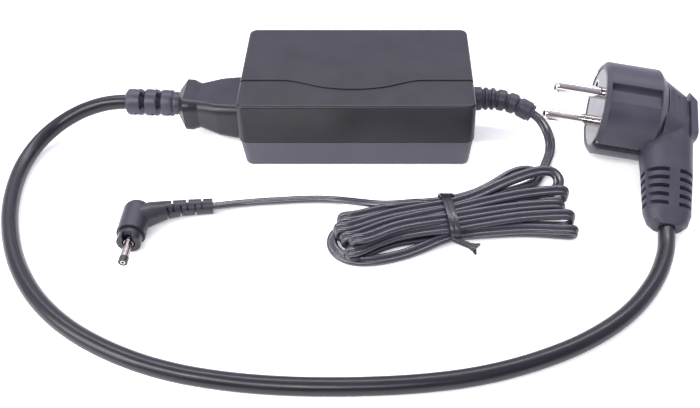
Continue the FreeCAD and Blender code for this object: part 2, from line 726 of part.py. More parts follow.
contact = contact.cut(toward_front(CONTACT_BORE, SLEEVE_REAR - 2, PAST_THE_TIP))
node(feature("dc_plug_contact", contact), "dc_plug_contact")

# ---------------------------------------------------------------- mains connector

NOSE_START = -47.4
NOSE_TIP = -30.2
SOCKET_GROW = 1.2
socket_rooms = []
for key, at in BLADES.items():
    socket_rooms.append(blade_box(f"{key}_room", at, SOCKET_GROW + 0.05, -46.6, -31.4))
    socket_rooms.append(blade_box(f"{key}_mouth", at, 0.5, -32.0, -29.0))
nose_block = feature("nose_block", nose_prism(0, NOSE_START, NOSE_TIP - NOSE_START))
node(cut("connector_insert", nose_block, fuse("nose_cuts", socket_rooms)), "connector_insert")
for key, at in BLADES.items():
    socket_block = blade_box(f"{key}_socket_block", at, SOCKET_GROW, -46.5, -31.5)
    socket_slot = blade_box(f"{key}_socket_slot", at, 0.12, -45.4, -31.0)
    node(cut(f"{key}_socket", socket_block, socket_slot), f"{key}_socket")

# Sections of the moulded grip: (x, width, height, corner radius, middle y, middle z).
GRIP_SECTIONS = [
    (-47.4, 24.6, 16.6, 3.3, -4.0, 12.6),
    (-51.0, 24.4, 16.6, 3.5, -4.0, 12.7),
    (-57.0, 23.2, 15.6, 3.7, -3.8, 12.9),
    (-61.0, 20.8, 14.6, 3.9, -3.6, 13.1),
    (-65.4, 18.2, 13.2, 3.9, -3.3, 13.3),
    (-68.6, 20.2, 14.8, 3.9, -3.0, 13.4),
    (-71.2, 20.6, 15.0, 4.3, -2.9, 13.5),
    (-73.8, 13.2, 10.6, 4.9, -2.7, 13.7),
]


def grip_outline(x, width, height, radius, middle_y, middle_z):
    def place_at(across, up):
        return Vector(x, middle_y + across, middle_z + up)

    return rounded_outline(place_at, width, height, radius)


grip = loft([grip_outline(*section) for section in GRIP_SECTIONS])
node(feature("connector_grip", grip), "connector_grip")

# The strain relief is a row of collars on a thinner core: (start x, end x, radius).
COLLARS = [
    (-73.8, -75.4, 5.0),
    (-77.0, -81.0, 5.5),
    (-83.2, -88.0, 5.6),
    (-90.4, -96.0, 5.5),
]
lead_relief_start = Vector(-73.8, -2.7, 13.7)
relief_run = Vector(*MAINS_ROUTE[0]) - lead_relief_start


def relief_cylinder(first, last, radius):
    share = relief_run / relief_run.x
    start = lead_relief_start + share * (first - lead_relief_start.x)
    return rod(start, lead_relief_start + share * (last - lead_relief_start.x), radius)


lead_relief = relief_cylinder(-73.8, -96.0, 3.9)
for first, last, radius in COLLARS:
    lead_relief = lead_relief.fuse(relief_cylinder(first, last, radius))
lead_relief = lead_relief.cut(grip).removeSplitter()
node(feature("connector_strain_relief", lead_relief), "connector_strain_relief")

# ---------------------------------------------------------------- mains plug

# The plug is drawn with its face at x = 0, pins towards -x, the pin line along z and the lead leaving
# towards -y. It lies on its round barrel and its neck, rolled and turned, with the pins a little raised.
PLUG_ROLL = 17.0
PLUG_LIFT = 6.0
PLUG_TURN = -7.2
BARREL_RADIUS = size("plug_diameter") / 2
plug_place = Placement(
    Vector(95.6, -15.6, 21.7),
    Rotation(Vector(0, 0, 1), PLUG_TURN)
    * Rotation(Vector(0, 1, 0), PLUG_LIFT)
    * Rotation(Vector(1, 0, 0), PLUG_ROLL),
)
BARREL_LENGTH = 21.4
INSERT_RADIUS = 15.4
INSERT_DEPTH = 7.0
FLAT_LEVEL = 16.5
NECK_X = 28.5
NECK_END = -50.0
INSERT_FACE = 0.2
PIN_REAR = 16.0
SHANK_RADIUS = 2.0


def disc(radius, first, last, y=0.0, z=0.0):
    return Part.makeCylinder(radius, last - first, Vector(first, y, z), Vector(1, 0, 0))


def rear_outline(x, width, height, radius, middle):
    def place_at(across, up):
        return Vector(x, middle + across, up)

    return rounded_outline(place_at, width, height, radius)


def neck_outline(y, width, height, radius, middle):
    def place_at(across, up):
        return Vector(middle + across, y, up)

    return rounded_outline(place_at, width, height, radius)


barrel = disc(BARREL_RADIUS, 0, BARREL_LENGTH)
barrel = barrel.makeChamfer(1.6, [e for e in barrel.Edges if e.CenterOfMass.x < 0.1 and e.Closed])
shoulder = Part.makeCone(BARREL_RADIUS, 14.4, 4.0, Vector(BARREL_LENGTH, 0, 0), Vector(1, 0, 0))
# Sections of the tapered back: (x, width along y, height along z, corner radius, middle y).
REAR_SECTIONS = [
    (23.8, 30.0, 28.0, 10.0, -1.0),
    (28.8, 26.0, 23.0, 8.0, -1.6),
    (33.8, 21.0, 17.6, 5.0, -2.0),
]
rear = loft([rear_outline(*section) for section in REAR_SECTIONS])
stem = loft([rear_outline(32.8, 17.0, 14.0, 3.0, -2.0), rear_outline(36.2, 17.0, 14.0, 3.0, -2.0)])
grip_flange = loft([rear_outline(35.4, 22.0, 18.0, 2.6, -2.0), rear_outline(38.8, 18.6, 14.6, 2.6, -2.0)])
# Sections of the neck that carries the lead: (y, width along x, height along z, corner radius, middle x).
NECK_SECTIONS = [
    (-4.0, 19.0, 19.0, 7.0, 29.0),
    (-16.0, 19.6, 18.0, 7.0, 28.2),
    (-26.0, 19.0, 16.2, 7.0, NECK_X),
    (-44.5, 17.8, 11.2, 5.5, NECK_X),
    (-48.4, 15.2, 9.2, 4.5, NECK_X),
    (NECK_END, 11.4, 7.8, 3.8, NECK_X),
]
neck_cut_y = -20.0
neck_full = loft([neck_outline(*section) for section in NECK_SECTIONS])
front_half = Part.makeBox(60, 60, 60, Vector(0, neck_cut_y, -30))
rear_half = Part.makeBox(60, 60, 60, Vector(0, neck_cut_y - 60, -30))
overmould = barrel.fuse([shoulder, rear, stem, grip_flange, neck_full.common(front_half)])
for side in (-1, 1):
    # A flat with one upright wall runs along the barrel at each end of the pin line.
    flat = Part.makeBox(BARREL_LENGTH - 2.0, 20.0, 5.0, Vector(1.6, -21.1, FLAT_LEVEL if side > 0 else -FLAT_LEVEL - 5))
    overmould = overmould.cut(flat)
    # A groove for an earth clip runs along the barrel at right angles to the pins.
    groove = Part.makeBox(18.6, 3.0, 3.6, Vector(-0.1, 16.0 if side > 0 else -19.0, -1.8))
    overmould = overmould.cut(groove)
for x, length, depth in ((24.2, 19.0, 13.3), (27.0, 14.0, 12.0), (29.6, 10.0, 10.6)):
    # Finger grooves on both faces of the tapered back.
    for lower in (depth, -depth - 4.0):
        overmould = overmould.cut(Part.makeBox(0.7, length, 4.0, Vector(x, -1.5 - length / 2, lower)))
overmould = overmould.cut(disc(INSERT_RADIUS, -1, INSERT_DEPTH))
pins = []
pin_radius = size("pin_diameter") / 2
for side in (-1, 1):
    height = side * size("pin_spacing") / 2
    pin = disc(pin_radius, -size("pin_length"), INSERT_FACE, 0, height)
    tip = [e for e in pin.Edges if e.Closed and e.CenterOfMass.x < -size("pin_length") + 0.1]
    pins.append(pin.makeFillet(1.9, tip).fuse(disc(SHANK_RADIUS, INSERT_FACE, PIN_REAR, 0, height)))
EARTH_HOLE_Y = 10.0
EARTH_HOLE_RADIUS = 2.5
EARTH_TUBE_RADIUS = 3.1
EARTH_TUBE_END = 17.0
earth_tube = disc(EARTH_TUBE_RADIUS, INSERT_FACE, EARTH_TUBE_END, EARTH_HOLE_Y)
earth_bore = disc(EARTH_HOLE_RADIUS, -1, EARTH_TUBE_END - 1, EARTH_HOLE_Y)
inside = pins + [earth_tube]
insert = disc(INSERT_RADIUS, INSERT_FACE, INSERT_DEPTH).cut(inside).cut(earth_bore)
overmould = overmould.cut(inside)
node(feature("plug_overmould", overmould.removeSplitter(), plug_place), "plug_overmould")
node(feature("plug_face_insert", insert, plug_place), "plug_face_insert")
node(feature("line_pin", pins[0], plug_place), "line_pin")
node(feature("neutral_pin", pins[1], plug_place), "neutral_pin")
node(feature("plug_earth_tube", earth_tube.cut(earth_bore), plug_place), "plug_earth_tube")
clips = [
    Part.makeBox(17.0, 0.9, 3.0, Vector(0.8, 16.0 if side > 0 else -16.9, -1.5)) for side in (-1, 1)
]
node(feature("plug_earth_clips", Part.makeCompound(clips), plug_place), "plug_earth_clips")

SLOT_ROWS = 5
SLOT_PITCH = 3.4
neck = neck_full.common(rear_half)
for row in range(SLOT_ROWS):
    slot_y = -29.6 - SLOT_PITCH * row
    # On the top and the bottom the slots leave a spine between them; on the left they also nick the side.
    for x, length in ((NECK_X - 10.0, 8.7), (NECK_X + 2.6, 8.0)):
        neck = neck.cut(Part.makeBox(length, 1.6, 6.0, Vector(x, slot_y, 3.6)))
        neck = neck.cut(Part.makeBox(length, 1.6, 6.0, Vector(x, slot_y, -9.6)))
    neck = neck.cut(Part.makeBox(4.0, 1.6, 5.0, Vector(NECK_X - 12.0, slot_y, -2.5)))
neck = neck.removeSplitter()
node(feature("plug_strain_relief", neck, plug_place), "plug_strain_relief")

lead_end = plug_place.multVec(Vector(NECK_X, NECK_END, 0))
print("mains lead ends at", [round(value, 2) for value in lead_end])
mains_lead = tube("mains_cord", MAINS_ROUTE + [tuple(lead_end)], size("lead_diameter"))
placed_neck = neck.copy()
placed_neck.Placement = plug_place
node(feature("mains_cord", between(mains_lead, [lead_relief, placed_neck], MAINS_ROUTE[1])), "mains_cord")

# ---------------------------------------------------------------- checks and files

doc.recompute()
for item in doc.Objects:
    if "Invalid" in item.State or "Error" in item.State:
        raise RuntimeError(f"{item.Label} failed: {item.State}")
os.makedirs("parts", exist_ok=True)
for item in nodes:
    shape = item.Shape
    if shape.isNull() or not shape.isValid() or not shape.Solids:
        raise RuntimeError(f"{item.Label} isn't a valid solid")
    print(f"{item.Label}: {len(shape.Solids)} solid(s), {shape.Volume:.0f} mm3")
    shape.exportStep(f"parts/{item.Label}.step")
print(len(nodes), "nodes")
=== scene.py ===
import math

import bmesh
import bpy
import numpy as np
from mathutils import Matrix, Vector


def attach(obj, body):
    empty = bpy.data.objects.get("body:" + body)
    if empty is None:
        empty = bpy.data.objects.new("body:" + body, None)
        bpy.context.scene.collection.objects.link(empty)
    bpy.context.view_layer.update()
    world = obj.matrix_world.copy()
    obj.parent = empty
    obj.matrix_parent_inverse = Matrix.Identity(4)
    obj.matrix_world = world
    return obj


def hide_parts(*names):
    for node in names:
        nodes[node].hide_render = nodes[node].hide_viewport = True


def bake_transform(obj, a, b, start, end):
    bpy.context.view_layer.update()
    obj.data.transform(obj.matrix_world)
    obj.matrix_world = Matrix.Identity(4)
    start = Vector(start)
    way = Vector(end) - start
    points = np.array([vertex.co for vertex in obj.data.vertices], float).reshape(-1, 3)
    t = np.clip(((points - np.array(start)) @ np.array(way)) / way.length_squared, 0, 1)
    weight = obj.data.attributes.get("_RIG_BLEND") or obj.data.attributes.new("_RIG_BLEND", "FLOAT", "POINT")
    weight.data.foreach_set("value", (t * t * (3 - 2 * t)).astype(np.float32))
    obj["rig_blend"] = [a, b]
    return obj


# Laptop power adapter with its detachable mains lead. Metres, +Z up; the origin is the middle of the
# brick's underside, the mains inlet is at -X and the low voltage cord leaves at +X.

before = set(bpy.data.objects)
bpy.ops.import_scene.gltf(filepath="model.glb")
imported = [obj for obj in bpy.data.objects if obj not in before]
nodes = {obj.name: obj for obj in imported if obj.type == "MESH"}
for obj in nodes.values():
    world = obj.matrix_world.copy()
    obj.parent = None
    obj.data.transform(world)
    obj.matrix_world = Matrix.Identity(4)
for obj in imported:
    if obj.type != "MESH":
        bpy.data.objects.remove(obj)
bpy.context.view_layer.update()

# ---------------------------------------------------------------- electronics inside the brick
# Circuit board with the parts of a small switching supply, soldered to it from above. The board is
# glass laminate, the parts are moulded resin, wound wire, sheet metal and printed cans.


def new_group(name, inputs, outputs):
    """An empty shader group with its named sockets; returns the group and its two end nodes."""
    tree = bpy.data.node_groups.new(name, "ShaderNodeTree")
    for label, kind, value in inputs:
        socket = tree.interface.new_socket(label, in_out="INPUT", socket_type=f"NodeSocket{kind}")
        socket.default_value = value
    for label, kind in outputs:
        tree.interface.new_socket(label, in_out="OUTPUT", socket_type=f"NodeSocket{kind}")
    return tree, tree.nodes.new("NodeGroupInput"), tree.nodes.new("NodeGroupOutput")


def grain_group():
    """Moulded surface: a fine grain over slow cloudy patches, both in object space."""
    tree, given, result = new_group(
        "Moulded Grain",
        [
            ("Dark", "Color", (0.02, 0.02, 0.02, 1)),
            ("Light", "Color", (0.04, 0.04, 0.04, 1)),
            ("Grain", "Float", 2500.0),
            ("Rough Low", "Float", 0.4),
            ("Rough High", "Float", 0.6),
        ],
        [("Color", "Color"), ("Roughness", "Float"), ("Height", "Float")],
    )
    place = tree.nodes.new("ShaderNodeTexCoord")
    fine = tree.nodes.new("ShaderNodeTexNoise")
    fine.inputs["Detail"].default_value = 3
    patches = tree.nodes.new("ShaderNodeTexNoise")
    patches.inputs["Scale"].default_value = 90
    patches.inputs["Detail"].default_value = 4
    both = tree.nodes.new("ShaderNodeMath")
    both.operation = "MULTIPLY_ADD"
    both.inputs[1].default_value = 0.45
    shade = tree.nodes.new("ShaderNodeMapRange")
    shade.inputs["From Min"].default_value = 0.45
    shade.inputs["From Max"].default_value = 1.0
    tint = tree.nodes.new("ShaderNodeMix")
    tint.data_type = "RGBA"
    rough = tree.nodes.new("ShaderNodeMapRange")
    rough.inputs["From Min"].default_value = 0.3
    rough.inputs["From Max"].default_value = 0.7
    link = tree.links.new
    link(place.outputs["Object"], fine.inputs["Vector"])
    link(given.outputs["Grain"], fine.inputs["Scale"])
    link(place.outputs["Object"], patches.inputs["Vector"])
    link(fine.outputs["Fac"], both.inputs[0])
    link(patches.outputs["Fac"], both.inputs[2])
    link(both.outputs[0], shade.inputs["Value"])
    link(shade.outputs["Result"], tint.inputs["Factor"])
    link(given.outputs["Dark"], tint.inputs["A"])
    link(given.outputs["Light"], tint.inputs["B"])
    link(patches.outputs["Fac"], rough.inputs["Value"])
    link(given.outputs["Rough Low"], rough.inputs["To Min"])
    link(given.outputs["Rough High"], rough.inputs["To Max"])
    link(tint.outputs["Result"], result.inputs["Color"])
    link(rough.outputs["Result"], result.inputs["Roughness"])
    link(fine.outputs["Fac"], result.inputs["Height"])
    return tree


moulded_grain = grain_group()


def grouped(name, group, values, strength, depth, specular, metal=0.0):
    """A material whose colour, roughness and relief come from a shader group with its own values."""
    material = bpy.data.materials.new(name)
    material.use_nodes = True
    tree = material.node_tree
    shader = tree.nodes["Principled BSDF"]
    shader.inputs["Specular IOR Level"].default_value = specular
    shader.inputs["Metallic"].default_value = metal
    surface = tree.nodes.new("ShaderNodeGroup")
    surface.node_tree = group
    for label, value in values.items():
        surface.inputs[label].default_value = value
    relief = tree.nodes.new("ShaderNodeBump")
    relief.inputs["Strength"].default_value = strength
    relief.inputs["Distance"].default_value = depth
    tree.links.new(surface.outputs["Color"], shader.inputs["Base Color"])
    tree.links.new(surface.outputs["Roughness"], shader.inputs["Roughness"])
    tree.links.new(surface.outputs["Height"], relief.inputs["Height"])
    tree.links.new(relief.outputs["Normal"], shader.inputs["Normal"])
    return material


def moulded(name, dark, light, grain=2500, rough=(0.4, 0.55), depth=0.00003, specular=0.5, metal=0.0):
    """A moulded, rolled or plated finish: two shades, the grain's scale, and a span of roughness."""
    values = {
        "Dark": (*dark, 1),
        "Light": (*light, 1),
        "Grain": grain,
        "Rough Low": rough[0],
        "Rough High": rough[1],
    }
    return grouped(name, moulded_grain, values, 0.5, depth, specular, metal)


def finish_node(material, *names):
    """Gives CAD nodes a material in place of their plain one."""
    for name in names:
        slots = nodes[name].data.materials
        slots.clear()
        slots.append(material)


finish_node(
    moulded("green laminate", (0.01, 0.06, 0.02), (0.02, 0.1, 0.04), 900, (0.3, 0.4)),
    "circuit_board",
)
finish_node(moulded("clear film", (0.5, 0.5, 0.46), (0.62, 0.62, 0.58), 600, (0.3, 0.5)), "insulating_sheet")
finish_node(moulded("sand-filled tube", (0.4, 0.3, 0.2), (0.5, 0.4, 0.28), 1200), "inlet_fuse")
finish_node(
    moulded("dipped lacquer", (0.02, 0.06, 0.22), (0.04, 0.1, 0.3), 800, (0.2, 0.3)),
    "surge_thermistor", "y_capacitor",
)
finish_node(moulded("yellow box", (0.5, 0.32, 0.03), (0.6, 0.4, 0.06), 700, (0.3, 0.45)), "x_capacitor")
finish_node(
    moulded("enamelled wire", (0.3, 0.09, 0.02), (0.55, 0.2, 0.05), 1500, (0.2, 0.35), 0.0002, metal=0.8),
    "emi_choke", "output_choke",
)
finish_node(
    moulded("black resin", (0.008, 0.008, 0.009), (0.018, 0.018, 0.02), 2600, (0.45, 0.6)),
    "bridge_rectifier", "primary_switch", "secondary_rectifier", "optocoupler", "control_chip",
)
finish_node(
    moulded("printed can", (0.01, 0.012, 0.03), (0.02, 0.024, 0.05), 500, (0.25, 0.35)),
    "bulk_capacitor", "output_capacitors",
)
finish_node(
    moulded("rolled aluminium", (0.5, 0.5, 0.52), (0.62, 0.62, 0.63), 1800, (0.3, 0.45), metal=1.0),
    "primary_heat_sink", "secondary_heat_sink", "heat_spreader",
)
finish_node(
    moulded("sintered ferrite", (0.02, 0.02, 0.022), (0.05, 0.05, 0.052), 3000, (0.5, 0.7)),
    "transformer_core",
)
finish_node(
    moulded("winding tape", (0.5, 0.36, 0.05), (0.6, 0.46, 0.1), 400, (0.25, 0.4)),
    "transformer_winding",
)
finish_node(
    moulded("wire insulation", (0.16, 0.01, 0.01), (0.24, 0.02, 0.02), 900, (0.35, 0.45)),
    "inlet_leads", "output_leads",
)

# ---------------------------------------------------------------- mains inlet
# A black nylon housing pressed between the shells, with three flat blades: line and neutral above,
# earth below. The blades are nickel plated brass.

finish_node(
    moulded("nylon housing", (0.006, 0.006, 0.007), (0.014, 0.014, 0.016), 2200, (0.35, 0.5)),
    "inlet_housing",
)
nickel = moulded(
    "nickel plate", (0.62, 0.59, 0.53), (0.74, 0.71, 0.65), 1400, (0.16, 0.3), 0.00001, metal=1.0
)
finish_node(nickel, "line_blade", "neutral_blade", "earth_blade")

# ---------------------------------------------------------------- brick shells and label
# Two halves of spark-eroded black polycarbonate, welded at the parting line. A blank printed film is
# stuck in a recess underneath.

JOIN_WITHIN = 1e-6
CREASE_ANGLE = math.radians(32)


def merged_copy(name, material, body="adapter", softened=0.0):
    """A CAD node's shape with its vertices joined, its edges softened and shaded smooth."""
    mesh = nodes[name].data.copy()
    mesh.name = f"{name}_skin"
    work = bmesh.new()
    work.from_mesh(mesh)
    bmesh.ops.remove_doubles(work, verts=work.verts, dist=JOIN_WITHIN)
    work.to_mesh(mesh)
    work.free()
    for layer in list(mesh.attributes):
        if layer.name in ("custom_normal", "sharp_edge", "sharp_face"):
            mesh.attributes.remove(layer)
    mesh.polygons.foreach_set("use_smooth", [True] * len(mesh.polygons))
    mesh.set_sharp_from_angle(angle=CREASE_ANGLE)
    mesh.materials.clear()
    mesh.materials.append(material)
    piece = bpy.data.objects.new(f"{name}_skin", mesh)
    bpy.context.collection.objects.link(piece)
    if softened:
        bevel = piece.modifiers.new("soft edges", "BEVEL")
        bevel.width = softened
        bevel.segments = 2
        bevel.limit_method = "ANGLE"
        bevel.angle_limit = math.radians(40)
    weighted = piece.modifiers.new("even shading", "WEIGHTED_NORMAL")
    weighted.keep_sharp = True
    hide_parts(name)
    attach(piece, body)
    return piece


# The two halves are the same black plastic with their shades painted apart: the base is painted lighter, as
# the white table's light reflected in its sides, and the top darker, as painted shade on its front faces.
shell_top_painted_shade = moulded(
    "eroded shell top, painted shade", (0.008, 0.0076, 0.0105), (0.0155, 0.0148, 0.020), 2600, (0.34, 0.44), 0.00004, 0.42
)
shell_base_painted_reflection = moulded(
    "eroded shell base, painted table reflection", (0.052, 0.0495, 0.067), (0.070, 0.0665, 0.09), 2600, (0.42, 0.55), 0.00004, 0.6
)
merged_copy("upper_shell", shell_top_painted_shade)
merged_copy("lower_shell", shell_base_painted_reflection)
finish_node(
    moulded("blank label film", (0.03, 0.03, 0.034), (0.045, 0.045, 0.05), 500, (0.3, 0.45)),
    "rating_label",
)

# ---------------------------------------------------------------- mains connector
# The socket half: a hard insert holds three spring contacts, and soft black PVC is moulded round it as
# a waisted grip and a slotted strain relief.

CONNECTOR = "mains_connector"
finish_node(
    moulded("hard insert", (0.01, 0.01, 0.012), (0.02, 0.02, 0.023), 2200, (0.3, 0.42)),
    "connector_insert",
)
finish_node(nickel, "line_socket", "neutral_socket", "earth_socket")
# The grip is moulded in the same PVC as the relief, but its copy of that PVC is painted darker, as shade.
grip_pvc_painted_shade = moulded(
    "grip pvc, painted shade", (0.01, 0.0093, 0.0142), (0.02, 0.0187, 0.0272), 1900, (0.28, 0.4), 0.00007, 0.42
)
merged_copy("connector_grip", grip_pvc_painted_shade, CONNECTOR)
soft_pvc = moulded(
    "moulded pvc", (0.034, 0.032, 0.045), (0.056, 0.053, 0.074), 1900, (0.36, 0.5), 0.00007, 0.4
)

# Profile of the relief along its axis, in millimetres: (distance from the grip, radius). Shallow waists
# part its three collars.
RELIEF_START, RELIEF_END = Vector((-0.0730, -0.0027, 0.0137)), Vector((-0.0960, -0.0019, 0.0140))
RELIEF_PROFILE = [(0.0, 4.6), (2.2, 4.7), (2.8, 4.9)]
for first, last, radius in ((4.0, 9.0, 5.5), (10.2, 15.6, 5.6), (16.8, 23.0, 5.5)):
    RELIEF_PROFILE += [
        (first - 0.6, radius - 0.8),
        (first - 0.2, radius - 0.55),
        (first + 0.3, radius - 0.12),
        (first + 0.9, radius),
        (last - 0.9, radius),
        (last - 0.3, radius - 0.14),
        (last, radius - 0.5),
    ]
RELIEF_PROFILE += [(23.5, 4.3), (23.7, 3.4)]
# Openings that let the relief flex: (first, last, angle of its middle with 0 being up, half its width).
RELIEF_WINDOWS = [(8.2, 10.4), (15.0, 17.4)]
RELIEF_SLOTS = [(4.9, 6.3), (11.6, 13.1), (18.6, 20.2)]
RELIEF_OPENINGS = [(*span, turn, 46) for span in RELIEF_WINDOWS for turn in (135, 315)]
RELIEF_OPENINGS += [(*span, turn, 26) for span in RELIEF_SLOTS for turn in (45, 225)]
OPENING_LIP = 0.00015
OPENING_DEPTH = 0.0016


def relief_radius(distance):
    """The relief's radius in metres at a distance in millimetres from the grip."""
    stations, radii = zip(*RELIEF_PROFILE)
    return float(np.interp(distance, stations, radii)) / 1000


axis = (RELIEF_END - RELIEF_START).normalized()
level = axis.cross(Vector((0, 0, 1))).normalized()
upward = level.cross(axis)
stations = sorted({d for d, _ in RELIEF_PROFILE} | {d for opening in RELIEF_OPENINGS for d in opening[:2]})
work = bmesh.new()
profile = [work.verts.new(RELIEF_START + axis * d / 1000 + upward * relief_radius(d)) for d in stations]
profile_edges = [work.edges.new(pair) for pair in zip(profile, profile[1:])]
bmesh.ops.spin(
    work,
    geom=profile + profile_edges,
    axis=axis,
    cent=RELIEF_START,
    angle=2 * math.pi,
    steps=48,
    use_merge=True,
)
bmesh.ops.recalc_face_normals(work, faces=work.faces)
for first, last, turn, half in RELIEF_OPENINGS:
    opening = []
    for face in work.faces:
        offset = face.calc_center_median() - RELIEF_START
        angle = math.degrees(math.atan2(offset.dot(level), offset.dot(upward)))
        away = abs((angle - turn + 180) % 360 - 180)
        if first < offset.dot(axis) * 1000 < last and away < half:
            opening.append(face)
    bmesh.ops.inset_region(
        work, faces=opening, thickness=OPENING_LIP, depth=-OPENING_DEPTH, use_even_offset=True
    )
relief_mesh = bpy.data.meshes.new("connector_relief_skin")
work.to_mesh(relief_mesh)
work.free()
relief_mesh.polygons.foreach_set("use_smooth", [True] * len(relief_mesh.polygons))
relief_mesh.set_sharp_from_angle(angle=math.radians(40))
relief_mesh.materials.append(soft_pvc)
connector_relief = bpy.data.objects.new("connector_relief_skin", relief_mesh)
bpy.context.collection.objects.link(connector_relief)
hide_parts("connector_strain_relief")
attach(connector_relief, CONNECTOR)

# ---------------------------------------------------------------- mains lead
# A round three-core lead in a smooth extruded PVC jacket. It leaves the connector level, comes down to
# the table and lies in one wide loop to the plug.

LEAD_DIAMETER = 0.0062
LEAD_ROUTE = [
    (-0.0955, -0.0019, 0.01400),
    (-0.1010, -0.0018, 0.01385),
    (-0.1085, -0.0024, 0.01285),
    (-0.1180, -0.0048, 0.01035),
    (-0.1275, -0.0108, 0.00680),
    (-0.1335, -0.0208, 0.00430),
    (-0.1356, -0.0345, 0.00320),
    (-0.1334, -0.0525, 0.00310),
    (-0.1282, -0.0690, 0.00310),
    (-0.1206, -0.0846, 0.00310),
    (-0.1099, -0.0992, 0.00310),
    (-0.0960, -0.1118, 0.00310),
    (-0.0788, -0.1218, 0.00310),
    (-0.0600, -0.1290, 0.00310),
    (-0.0400, -0.1330, 0.00310),
    (-0.0200, -0.1348, 0.00310),
    (0.0005, -0.1350, 0.00310),
    (0.0210, -0.1340, 0.00310),
    (0.0410, -0.1312, 0.00310),
    (0.0605, -0.1254, 0.00310),
    (0.0790, -0.1170, 0.00310),
    (0.0950, -0.1054, 0.00310),
    (0.1066, -0.0914, 0.00310),
    (0.1128, -0.0794, 0.00310),
    (0.1152, -0.0715, 0.00330),
    (0.1164, -0.0650, 0.00460),
]


def spline_points(name, route, step):
    """Points a step apart along one smooth curve through a route's control points."""
    curve = bpy.data.curves.new(name, "CURVE")
    curve.dimensions = "3D"
    spline = curve.splines.new("NURBS")
    spline.points.add(len(route) - 1)
    for point, place in zip(spline.points, route):
        point.co = (*place, 1)
    spline.order_u = 3
    spline.use_endpoint_u = True
    spline.resolution_u = 12
    carrier = bpy.data.objects.new(name, curve)
    bpy.context.collection.objects.link(carrier)
    bpy.context.view_layer.update()
    line = bpy.data.meshes.new_from_object(carrier)
    dense = np.array([vertex.co[:] for vertex in line.vertices])
    bpy.data.meshes.remove(line)
    bpy.data.objects.remove(carrier)
    bpy.data.curves.remove(curve)
    gone = np.concatenate([[0], np.cumsum(np.linalg.norm(np.diff(dense, axis=0), axis=1))])
    marks = np.linspace(0, gone[-1], int(round(gone[-1] / step)) + 1)
    points = np.stack([np.interp(marks, gone, column) for column in dense.T], axis=1)
    return points, marks


def directions(points):
    """The unit direction of a line at each of its points."""
    ahead = np.gradient(points, axis=0)
    return ahead / np.linalg.norm(ahead, axis=1, keepdims=True)


# A flat cord turns back to level at this share of the way per point, unless it climbs steeply.
LEVELLING = 0.12
STEEP = 0.25


def level_frames(points, lean=0.0):
    """For each point, the direction across a flat cord, kept level or leaning and free of sudden twist."""
    ahead = directions(points)
    up = np.array([0.0, 0.0, 1.0])
    across = np.cross(up, ahead[0])
    across /= np.linalg.norm(across)
    result = []
    for direction in ahead:
        across = across - direction * across.dot(direction)
        across /= np.linalg.norm(across)
        level = np.cross(up, direction)
        flatness = np.linalg.norm(level)
        if flatness > STEEP:
            level /= flatness
            rise = np.cross(direction, level)
            wanted = level * math.cos(lean) + rise * math.sin(lean)
            if wanted.dot(across) < 0:
                wanted = -wanted
            across = across + (wanted - across) * LEVELLING * flatness
            across -= direction * across.dot(direction)
            across /= np.linalg.norm(across)
        result.append(across)
    return ahead, np.array(result)


# The skin's map runs along the line at this many units to the metre, and once around it.
MAP_PER_METRE = 100


def sweep(name, points, marks, across, ahead, outline, material, sizes=1.0, crease=70):
    """A closed skin whose outline, given as (across, up) offsets, follows the points, sized at each one.

    A flat grid, with a row of vertices for each point, is rolled round the line and its sides are joined.
    """
    rise = np.cross(ahead, across)
    sizes = np.broadcast_to(sizes, len(points))[:, None]
    rings = np.stack([points + (across * a + rise * b) * sizes for a, b in outline], axis=1)
    rows, columns = len(points) - 1, len(outline)
    work = bmesh.new()
    bmesh.ops.create_grid(work, x_segments=columns, y_segments=rows, size=1)
    spots = [(round((v.co.y + 1) / 2 * rows), round((v.co.x + 1) / 2 * columns)) for v in work.verts]
    layer = work.loops.layers.uv.new("jacket")
    for face in work.faces:
        for loop in face.loops:
            row, column = spots[loop.vert.index]
            loop[layer].uv = (marks[row] * MAP_PER_METRE, column / columns)
    for vertex, (row, column) in zip(work.verts, spots):
        vertex.co = rings[row][column % columns]
    seam = [vertex for vertex, (_, column) in zip(work.verts, spots) if column in (0, columns)]
    bmesh.ops.remove_doubles(work, verts=seam, dist=JOIN_WITHIN)
    bmesh.ops.edgeloop_fill(work, edges=[edge for edge in work.edges if edge.is_boundary])
    bmesh.ops.recalc_face_normals(work, faces=work.faces)
    mesh = bpy.data.meshes.new(name)
    work.to_mesh(mesh)
    work.free()
    mesh.polygons.foreach_set("use_smooth", [True] * len(mesh.polygons))
    mesh.set_sharp_from_angle(angle=math.radians(crease))
    mesh.materials.append(material)
    piece = bpy.data.objects.new(name, mesh)
    bpy.context.collection.objects.link(piece)
    return piece


def round_outline(diameter, count):
    """A circle as the (across, up) offsets of its points."""
    turns = [2 * math.pi * i / count for i in range(count)]
    return [(diameter / 2 * math.cos(turn), diameter / 2 * math.sin(turn)) for turn in turns]


